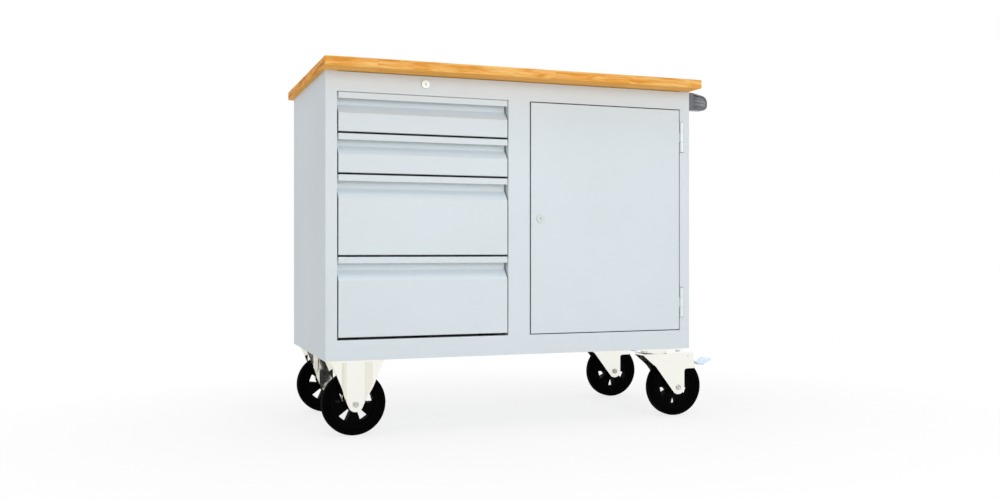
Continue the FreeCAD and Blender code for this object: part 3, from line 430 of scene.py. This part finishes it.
# Black rubber of the tyres and black plastic of the rims
rubberLook = {
    "base": colour(2, 2, 2),
    "dust": colour(10, 10, 10),
    "cloud": (26.0, 4.0),
    "cloudBand": (0.50, 0.80),
    "cloudShare": 0.35,
    "grain": (700.0, 3.0),
    "grainBand": (0.60, 0.80),
    "grainShare": 0.20,
    "grainRelief": (0.20, 0.0004),
    "rough": 0.75,
    "roughCloud": 0.15,
    "gloss": 0.03,
}


def wheelBlack(name, look):
    rubber = newFinish(name)
    spot = rubber.place()
    grain = rubber.noise(spot, *look["grain"])
    cloud = rubber.noise(spot, *look["cloud"])
    tint = rubber.mix(rubber.ramp(cloud, *look["cloudBand"]) * look["cloudShare"], look["base"], look["dust"])
    tint = rubber.mix(rubber.ramp(grain, *look["grainBand"]) * look["grainShare"], tint, look["dust"])
    rough = look["rough"] + cloud * look["roughCloud"]
    skin = rubber.bump(grain, *look["grainRelief"])
    return rubber.surface(Base_Color=tint, Roughness=rough, Normal=skin, Specular_IOR_Level=look["gloss"])


# Grey moulded plastic of the push handle
handleLook = {
    "base": colour(100, 103, 110),
    "pale": colour(109, 112, 118),
    # painted shade: the hollows of the caps, the pocket most of all, turn dark
    "paintedHollowShade": colour(22, 25, 30),
    "cloud": (18.0, 3.0),
    "cloudBand": (0.35, 0.75),
    "cloudShare": 0.5,
    "paintedHollowShadeReach": 0.02,
    "paintedHollowShadeBand": (0.2, 0.7),
    "paintedHollowShadeShare": 0.7,
    "grain": (1600.0, 2.0),
    "grainRelief": (0.08, 0.0003),
    "rough": 0.24,
    "roughGrain": 0.08,
    "ior": 1.48,
}


def mouldedGrey(name, look):
    grey = newFinish(name)
    spot = grey.place()
    grain = grey.noise(spot, *look["grain"])
    cloud = grey.ramp(grey.noise(spot, *look["cloud"]), *look["cloudBand"])
    # painted shade in the hollows
    paintedHollowShade = grey.ramp(grey.crevice(look["paintedHollowShadeReach"]), *look["paintedHollowShadeBand"])
    tint = grey.mix(cloud * look["cloudShare"], look["base"], look["pale"])
    tint = grey.mix(paintedHollowShade * look["paintedHollowShadeShare"], tint, look["paintedHollowShade"])
    rough = look["rough"] + grain * look["roughGrain"]
    skin = grey.bump(grain, *look["grainRelief"])
    return grey.surface(Base_Color=tint, Roughness=rough, Normal=skin, IOR=look["ior"])


# Looks that differ from those above in a few values
innerLook = dict(
    paintLook,
    base=colour(202, 211, 215),
    dust=colour(188, 194, 195),
    # painted light on faces that look up, paler here than on the outer paint
    paintedTopLight=colour(206, 215, 219),
    # painted shade colour in recesses, as on the outer paint
    paintedRecessTint=colour(206, 208, 204),
    # painted shade in gaps and runner channels, softer than on the outer paint
    paintedCreviceShade=colour(84, 87, 86),
)
hingeLook = dict(
    paintLook,
    # paler than the cabinet paint, partly a painted highlight along the barrels; the glossier coat is real
    base=colour(228, 236, 240),
    dust=colour(222, 230, 234),
    rough=0.12,
    coat=0.5,
)
pedalLook = dict(
    zincLook,
    base=colour(216, 232, 250),
    blue=colour(208, 225, 246),
    yellow=colour(220, 233, 247),
    metal=0.15,
    rough=0.40,
)
runnerLook = dict(
    zincLook,
    base=colour(214, 216, 216),
    blue=colour(192, 198, 204),
    yellow=colour(208, 202, 184),
    rough=0.26,
)
boltLook = dict(
    zincLook,
    base=colour(214, 213, 208),
    blue=colour(190, 196, 202),
    yellow=colour(208, 196, 164),
    rough=0.24,
)
axleLook = dict(
    zincLook,
    base=colour(193, 194, 190),
    blue=colour(170, 174, 178),
    yellow=colour(188, 182, 162),
    # painted shade, darker, in the crevices around the axle heads
    paintedCreviceShade=colour(64, 64, 62),
    metal=0.5,
    rough=0.34,
)
satinLook = dict(
    nickelLook,
    base=colour(204, 211, 207),
    line=colour(192, 199, 193),
    # painted shade in the key slot, darker on this lock
    slot=colour(112, 114, 108),
    rough=0.55,
)
rimLook = dict(rubberLook, rough=0.55, grain=(1400.0, 3.0))

materials = {
    "cabinet_paint": powderCoat("grey_powder_coat", paintLook),
    "inner_steel": powderCoat("inner_powder_coat", innerLook),
    "beech": oiledBeech("oiled_beech", beechLook),
    "caster_steel": zincPlate("caster_zinc", zincLook),
    "runner_steel": zincPlate("runner_zinc", runnerLook),
    "bolt_steel": zincPlate("bolt_zinc", boltLook),
    "lock_nickel": turnedNickel("turned_nickel", nickelLook),
    "handle_grey": mouldedGrey("handle_plastic", handleLook),
    "black_plastic": wheelBlack("rim_plastic", rimLook),
    "tyre_rubber": wheelBlack("tyre_rubber", rubberLook),
}
hingeGlossAndPaintedHighlight = powderCoat("hinge_gloss_and_painted_highlight", hingeLook)
pedalZinc = zincPlate("pedal_zinc", pedalLook)
axleZinc = zincPlate("axle_zinc", axleLook)
satinNickel = turnedNickel("satin_nickel", satinLook)
ownFinish = {
    "hinge_frame_leaves": hingeGlossAndPaintedHighlight,
    "hinge_door_leaves": hingeGlossAndPaintedHighlight,
    "front_brake_pedal": pedalZinc,
    "rear_brake_pedal": pedalZinc,
    "fixed_axles": axleZinc,
    "front_swivel_axle": axleZinc,
    "rear_swivel_axle": axleZinc,
    "door_lock_housing": satinNickel,
    "door_lock_cylinder": satinNickel,
}
slotOf = {row["node"]: row["material_slot"] for row in frame["record"]["subparts"]}
for name, node in nodes.items():
    node.data.materials.clear()
    node.data.materials.append(ownFinish.get(name, materials[slotOf[name]]))
print("materials:", len(materials))


# Modelling helpers

def freshMesh():
    if bpy.context.mode != "OBJECT":
        bpy.ops.object.mode_set(mode="OBJECT")
    bpy.ops.object.select_all(action="DESELECT")


def applyPlace():
    bpy.ops.object.transform_apply(location=True, rotation=True, scale=True)


def clearPicks(kind):
    bpy.ops.object.mode_set(mode="EDIT")
    bpy.ops.mesh.select_mode(type=kind)
    bpy.ops.mesh.select_all(action="DESELECT")
    bpy.ops.object.mode_set(mode="OBJECT")


def pickFaces(obj, test):
    # selects the faces that pass the test, and stays in edit mode
    clearPicks("FACE")
    for face in obj.data.polygons:
        face.select = bool(test(face.center, face.normal))
    bpy.ops.object.mode_set(mode="EDIT")


def pickEdges(obj, test, ring=False):
    # selects the edges whose two ends pass the test; a ring has no edge along Y
    clearPicks("EDGE")
    points = obj.data.vertices
    for edge in obj.data.edges:
        first, second = (points[index].co for index in edge.vertices)
        along = ring and abs(first.y - second.y) > hair
        edge.select = bool(test(first) and test(second) and not along)
    bpy.ops.object.mode_set(mode="EDIT")


def turnOutwards():
    bpy.ops.mesh.select_all(action="SELECT")
    bpy.ops.mesh.normals_make_consistent(inside=False)


def settle(obj, slotName, body):
    # puts the place in the mesh, smooths it, and lets it ride on its body
    bpy.ops.object.mode_set(mode="OBJECT")
    applyPlace()
    bpy.ops.object.shade_smooth_by_angle(angle=smoothAngle)
    obj.data.materials.clear()
    obj.data.materials.append(materials[slotName])
    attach(obj, body)


# Tyres with a rounded tread and moulded rings on their side walls
tyreLook = {
    "steps": 96,
    "shoulder": 0.014,
    "shoulderSteps": 10,
    "shoulderProfile": 0.5,
    "boreReach": 0.004,  # edges within this of the bore belong to it
    "wallFacing": 0.98,
    "ringInset": 0.0014,
    "ringDepth": 0.0006,
}


def makeTyre(wheel, body):
    low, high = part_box(f"{wheel}_tyre")
    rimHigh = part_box(f"{wheel}_rim")[1]
    centre = (low + high) / 2
    radius = (high.z - low.z) / 2
    inner = rimHigh.z - centre.z
    boreEdge = inner + tyreLook["boreReach"]
    freshMesh()
    bpy.ops.mesh.primitive_cylinder_add(
        vertices=tyreLook["steps"], radius=radius, depth=high.y - low.y, end_fill_type="NGON",
        rotation=(math.pi / 2, 0, 0),
    )
    tyre = bpy.context.object
    tyre.name = f"{wheel}_tread"
    applyPlace()
    # the ends are opened to the bore, and the bore joins them
    pickFaces(tyre, lambda spot, normal: abs(normal.y) > facingLimit)
    bpy.ops.mesh.inset(thickness=radius - inner, use_boundary=True)
    bpy.ops.mesh.delete(type="FACE")
    pickEdges(tyre, lambda spot: math.hypot(spot.x, spot.z) < boreEdge)
    bpy.ops.mesh.bridge_edge_loops()
    pickEdges(tyre, lambda spot: math.hypot(spot.x, spot.z) > radius - hair, ring=True)
    bpy.ops.mesh.bevel(
        offset=tyreLook["shoulder"], segments=tyreLook["shoulderSteps"], profile=tyreLook["shoulderProfile"]
    )
    pickFaces(
        tyre,
        lambda spot, normal: abs(normal.y) > tyreLook["wallFacing"] and math.hypot(spot.x, spot.z) > inner,
    )
    bpy.ops.mesh.inset(thickness=tyreLook["ringInset"], depth=-tyreLook["ringDepth"], use_boundary=True)
    turnOutwards()
    bpy.ops.object.mode_set(mode="OBJECT")
    tyre.location = centre
    settle(tyre, "tyre_rubber", body)
    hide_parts(f"{wheel}_tyre")


for wheel in ("front_left", "rear_left", "front_right", "rear_right"):
    makeTyre(wheel, f"{wheel}_wheel")
print("tyres made")


# End caps of the push handle: moulded arms with a hollow, ribbed outer face
capLook = {
    "width": 0.024,
    "base": 0.013,
    "tipHeight": 0.037,
    "tipDrop": 0.005,
    "noseOffset": 0.0152,
    "noseSteps": 10,
    "rim": 0.0042,
    "deep": 0.009,
    "shallow": 0.002,
    "draft": 0.0008,
    "edge": 0.0012,
    "edgeSteps": 3,
    "edgeAngle": 40,
    "ribs": 3,
    "ribWidth": 0.0024,
    "ribHeight": 0.0008,
    "ribTaper": 0.7,
}


def makeHandleCap(name, outerY, inward):
    # inward is 1 for the front cap and -1 for the rear one
    low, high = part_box("handle_brackets")
    middle = (low.z + high.z) / 2
    height = high.z - low.z
    armStart = low.x + capLook["base"]
    freshMesh()
    bpy.ops.mesh.primitive_plane_add(size=1, rotation=(math.pi / 2, 0, 0))
    cap = bpy.context.object
    cap.name = name
    cap.scale = (high.x - low.x, height, 1)
    cap.location = ((low.x + high.x) / 2, outerY, middle)
    applyPlace()
    # side view: a high base, an arm that tapers and drops to a round nose
    bpy.ops.object.mode_set(mode="EDIT")
    bpy.ops.mesh.select_all(action="SELECT")
    bpy.ops.mesh.bisect(plane_co=(armStart, 0, 0), plane_no=(1, 0, 0))
    pickEdges(cap, lambda spot: spot.x > high.x - hair)
    squeeze = capLook["tipHeight"] / height
    bpy.ops.transform.resize(value=(1, 1, squeeze), center_override=(high.x, outerY, middle))
    bpy.ops.transform.translate(value=(0, 0, -capLook["tipDrop"]))
    bpy.ops.mesh.bevel(offset=capLook["noseOffset"], segments=capLook["noseSteps"], affect="VERTICES")
    bpy.ops.mesh.select_all(action="SELECT")
    bpy.ops.mesh.extrude_region_move(TRANSFORM_OT_translate={"value": (0, inward * capLook["width"], 0)})
    turnOutwards()
    pickFaces(cap, lambda spot, normal: abs(spot.y - outerY) < hair and spot.x > armStart)
    bpy.ops.mesh.inset(thickness=capLook["rim"])
    bpy.ops.mesh.inset(thickness=capLook["draft"], depth=-capLook["shallow"])
    # the pocket's floor turns about its end at the nose, so that it is deep beside the base
    floorY = outerY + inward * capLook["shallow"]
    noseX = high.x - capLook["rim"]
    floorLength = noseX - armStart
    hinge = (noseX, floorY, middle)
    tilt = inward * math.atan2(capLook["deep"] - capLook["shallow"], floorLength)
    bpy.ops.transform.rotate(value=tilt, orient_axis="Z", center_override=hinge)
    bpy.ops.object.mode_set(mode="OBJECT")
    # the ribs lie on that floor and follow the arm down
    pitch = capLook["tipHeight"] / (capLook["ribs"] + 1)
    droop = math.atan2(capLook["tipDrop"], high.x - armStart)
    ribs = []
    for step in range(capLook["ribs"]):
        freshMesh()
        ribZ = middle + (step - (capLook["ribs"] - 1) / 2) * pitch
        bpy.ops.mesh.primitive_cube_add(size=1)
        rib = bpy.context.object
        rib.scale = (floorLength - 2 * capLook["rim"], 2 * capLook["ribHeight"], capLook["ribWidth"])
        rib.location = (noseX - floorLength / 2, floorY, ribZ)
        applyPlace()
        pickFaces(rib, lambda spot, normal: normal.y * inward < -facingLimit)
        bpy.ops.transform.resize(value=(1, 1, capLook["ribTaper"]), center_override=(0, floorY, ribZ))
        bpy.ops.mesh.select_all(action="SELECT")
        bpy.ops.transform.rotate(value=tilt, orient_axis="Z", center_override=hinge)
        bpy.ops.transform.rotate(value=-droop, orient_axis="Y", center_override=(armStart, floorY, middle))
        bpy.ops.object.mode_set(mode="OBJECT")
        ribs.append(rib)
    freshMesh()
    for rib in ribs:
        rib.select_set(True)
    cap.select_set(True)
    bpy.context.view_layer.objects.active = cap
    bpy.ops.object.join()
    bevel = cap.modifiers.new("edge", "BEVEL")
    bevel.width = capLook["edge"]
    bevel.segments = capLook["edgeSteps"]
    bevel.limit_method = "ANGLE"
    bevel.angle_limit = math.radians(capLook["edgeAngle"])
    bpy.ops.object.modifier_apply(modifier="edge")
    settle(cap, "handle_grey", "cabinet")
    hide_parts("handle_brackets")


capLow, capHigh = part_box("handle_brackets")
makeHandleCap("handle_front_cap", capLow.y, 1)
makeHandleCap("handle_rear_cap", capHigh.y, -1)
print("handle caps made")


# Camera at the photograph's place: below the worktop, left of the front
cameraLook = {
    "offset": Vector((-0.42809, -2.40495, 0.26869)),  # from the cabinet's corner
    "turn": -20.0,
    "lens": 36.07,
    "sensor": 36.0,
    "clipEnd": 100,
}
camera = bpy.data.objects.new("camera", bpy.data.cameras.new("camera"))
bpy.context.scene.collection.objects.link(camera)
camera.location = cabinetCorner + cameraLook["offset"]
camera.rotation_euler = (math.radians(90), 0, math.radians(cameraLook["turn"]))
camera.data.lens = cameraLook["lens"]
camera.data.sensor_width = cameraLook["sensor"]
camera.data.clip_end = cameraLook["clipEnd"]
bpy.context.scene.camera = camera

# Studio: a pale floor that fades to white, a white surround and soft lamps
white = (1, 1, 1, 1)
studio = {
    "floorSize": 14.0,
    "fadeShape": (1.0, 1.3, 0.0),
    "fadeBand": (0.75, 1.5),
    "floorWhite": 0.78,
    "paper": colour(240, 240, 240),
    "paperSpeck": colour(236, 236, 236),
    "speck": (60.0, 2.0),
    "surround": 0.66,
    "lampTarget": Vector((0, 0, 0.4)),
    "lamps": {
        "key": {"place": (0.5, -3.9, 1.35), "size": 2.2, "power": 42},
        "top": {"place": (-0.4, -0.6, 3.6), "size": 2.6, "power": 30},
        "back": {"place": (1.1, 4.2, 1.9), "size": 2.2, "power": 26},
    },
}


def makeFloor():
    freshMesh()
    bpy.ops.mesh.primitive_plane_add(size=studio["floorSize"], location=(0, 0, floorHeight))
    floor = bpy.context.object
    floor.name = "floor"
    pale = newFinish("pale_floor")
    spot = pale.place()
    oval = pale.stretch(spot, studio["fadeShape"])
    reach = pale.add("ShaderNodeVectorMath", {"operation": "LENGTH"}, {0: oval}, "Value")
    fade = pale.ramp(reach, *studio["fadeBand"])
    share = pale.shown() * (studio["floorWhite"] + fade * (1 - studio["floorWhite"]))
    speck = pale.noise(spot, *studio["speck"])
    paper = pale.mix(speck, studio["paper"], studio["paperSpeck"])
    matt = pale.add("ShaderNodeBsdfDiffuse", {}, {"Color": paper})
    glow = pale.add("ShaderNodeEmission", {}, {"Color": white, "Strength": 1.0})
    shader = pale.add("ShaderNodeMixShader", {}, {0: share, 1: matt, 2: glow})
    pale.add("ShaderNodeOutputMaterial", {}, {"Surface": shader})
    floor.data.materials.append(pale.owner)


def makeSurround():
    world = bpy.data.worlds.new("surround")
    bpy.context.scene.world = world
    sky = Finish(world)
    strength = studio["surround"] + sky.shown() * (1 - studio["surround"])
    light = sky.add("ShaderNodeBackground", {}, {"Color": white, "Strength": strength})
    sky.add("ShaderNodeOutputWorld", {}, {"Surface": light})


def makeLamp(name, place, size, power):
    lamp = bpy.data.objects.new(name, bpy.data.lights.new(name, "AREA"))
    bpy.context.scene.collection.objects.link(lamp)
    lamp.location = place
    lamp.rotation_euler = (studio["lampTarget"] - Vector(place)).to_track_quat("-Z", "Y").to_euler()
    lamp.data.shape = "DISK"
    lamp.data.size = size
    lamp.data.energy = power


makeFloor()
makeSurround()
for lampName, lampLook in studio["lamps"].items():
    makeLamp(lampName, **lampLook)
bpy.context.scene.view_settings.view_transform = "Standard"
print("studio ready")
